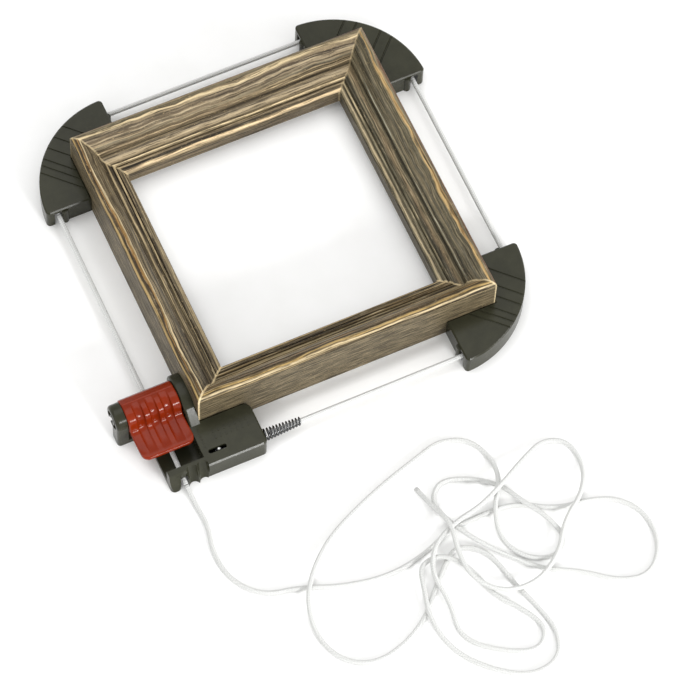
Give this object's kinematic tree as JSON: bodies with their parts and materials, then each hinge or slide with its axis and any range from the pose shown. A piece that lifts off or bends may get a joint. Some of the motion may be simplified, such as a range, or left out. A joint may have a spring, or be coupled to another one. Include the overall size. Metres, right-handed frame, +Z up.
{
  "type": "picture frame clamp",
  "caption": "Cord clamp for picture frames, closed round a mitred wooden frame: quarter-round corner jaws, a tension block with red cam lever and tapered spring, and a loose tail of spare cord",
  "frame": {"origin": "on the floor, under the middle of the bounding box of everything but the loose tail of spare cord", "axes": "+Z up out of the frame's face, +X to the right along the frame side opposite the picture's top, +Y from the side with the loose cord to the opposite side"},
  "size_m": [0.2789, 0.4583, 0.0411],
  "materials": {
    "stained_wood": "dark streaky stain, rubbed through to pale wood on the raised lines",
    "grey_plastic": "moulded, finely textured satin",
    "red_plastic": "moulded, smooth semi-gloss",
    "dark_plastic": "moulded, satin",
    "zinc_steel": "bright zinc plate",
    "spring_steel": "bright drawn wire",
    "white_braid": "smooth tight braid"
  },
  "bodies": {
    "frame": {"rail_front": "stained_wood", "rail_right": "stained_wood", "rail_back": "stained_wood", "rail_left": "stained_wood", "tension_block": "grey_plastic", "base_cover": "grey_plastic", "cover_screws": "zinc_steel", "cam_anvil": "dark_plastic", "lever_axle": "zinc_steel", "tension_spring": "spring_steel", "spring_anchor_pin": "zinc_steel", "clamp_cord": "white_braid", "cord_knot": "white_braid", "cord_tail": "white_braid"},
    "lever": {"lever": "red_plastic", "cord_cam": "dark_plastic"},
    "jaw_back_left": {"jaw_back_left": "grey_plastic"},
    "jaw_back_right": {"jaw_back_right": "grey_plastic"},
    "jaw_front_right": {"jaw_front_right": "grey_plastic"}
  },
  "joints": [
    {"name": "lever_hinge", "type": "hinge", "parent": "frame", "child": "lever", "pos_m": [-0.1125, -0.08, 0.021], "axis": [-1, 0, 0], "range_deg": [0, 85]},
    {"name": "jaw_back_left_lift", "type": "slide", "parent": "frame", "child": "jaw_back_left", "axis": [0, 0, 1], "range_m": [0, 0.045]},
    {"name": "jaw_back_right_lift", "type": "slide", "parent": "frame", "child": "jaw_back_right", "axis": [0, 0, 1], "range_m": [0, 0.045]},
    {"name": "jaw_front_right_lift", "type": "slide", "parent": "frame", "child": "jaw_front_right", "axis": [0, 0, 1], "range_m": [0, 0.045]}
  ]
}
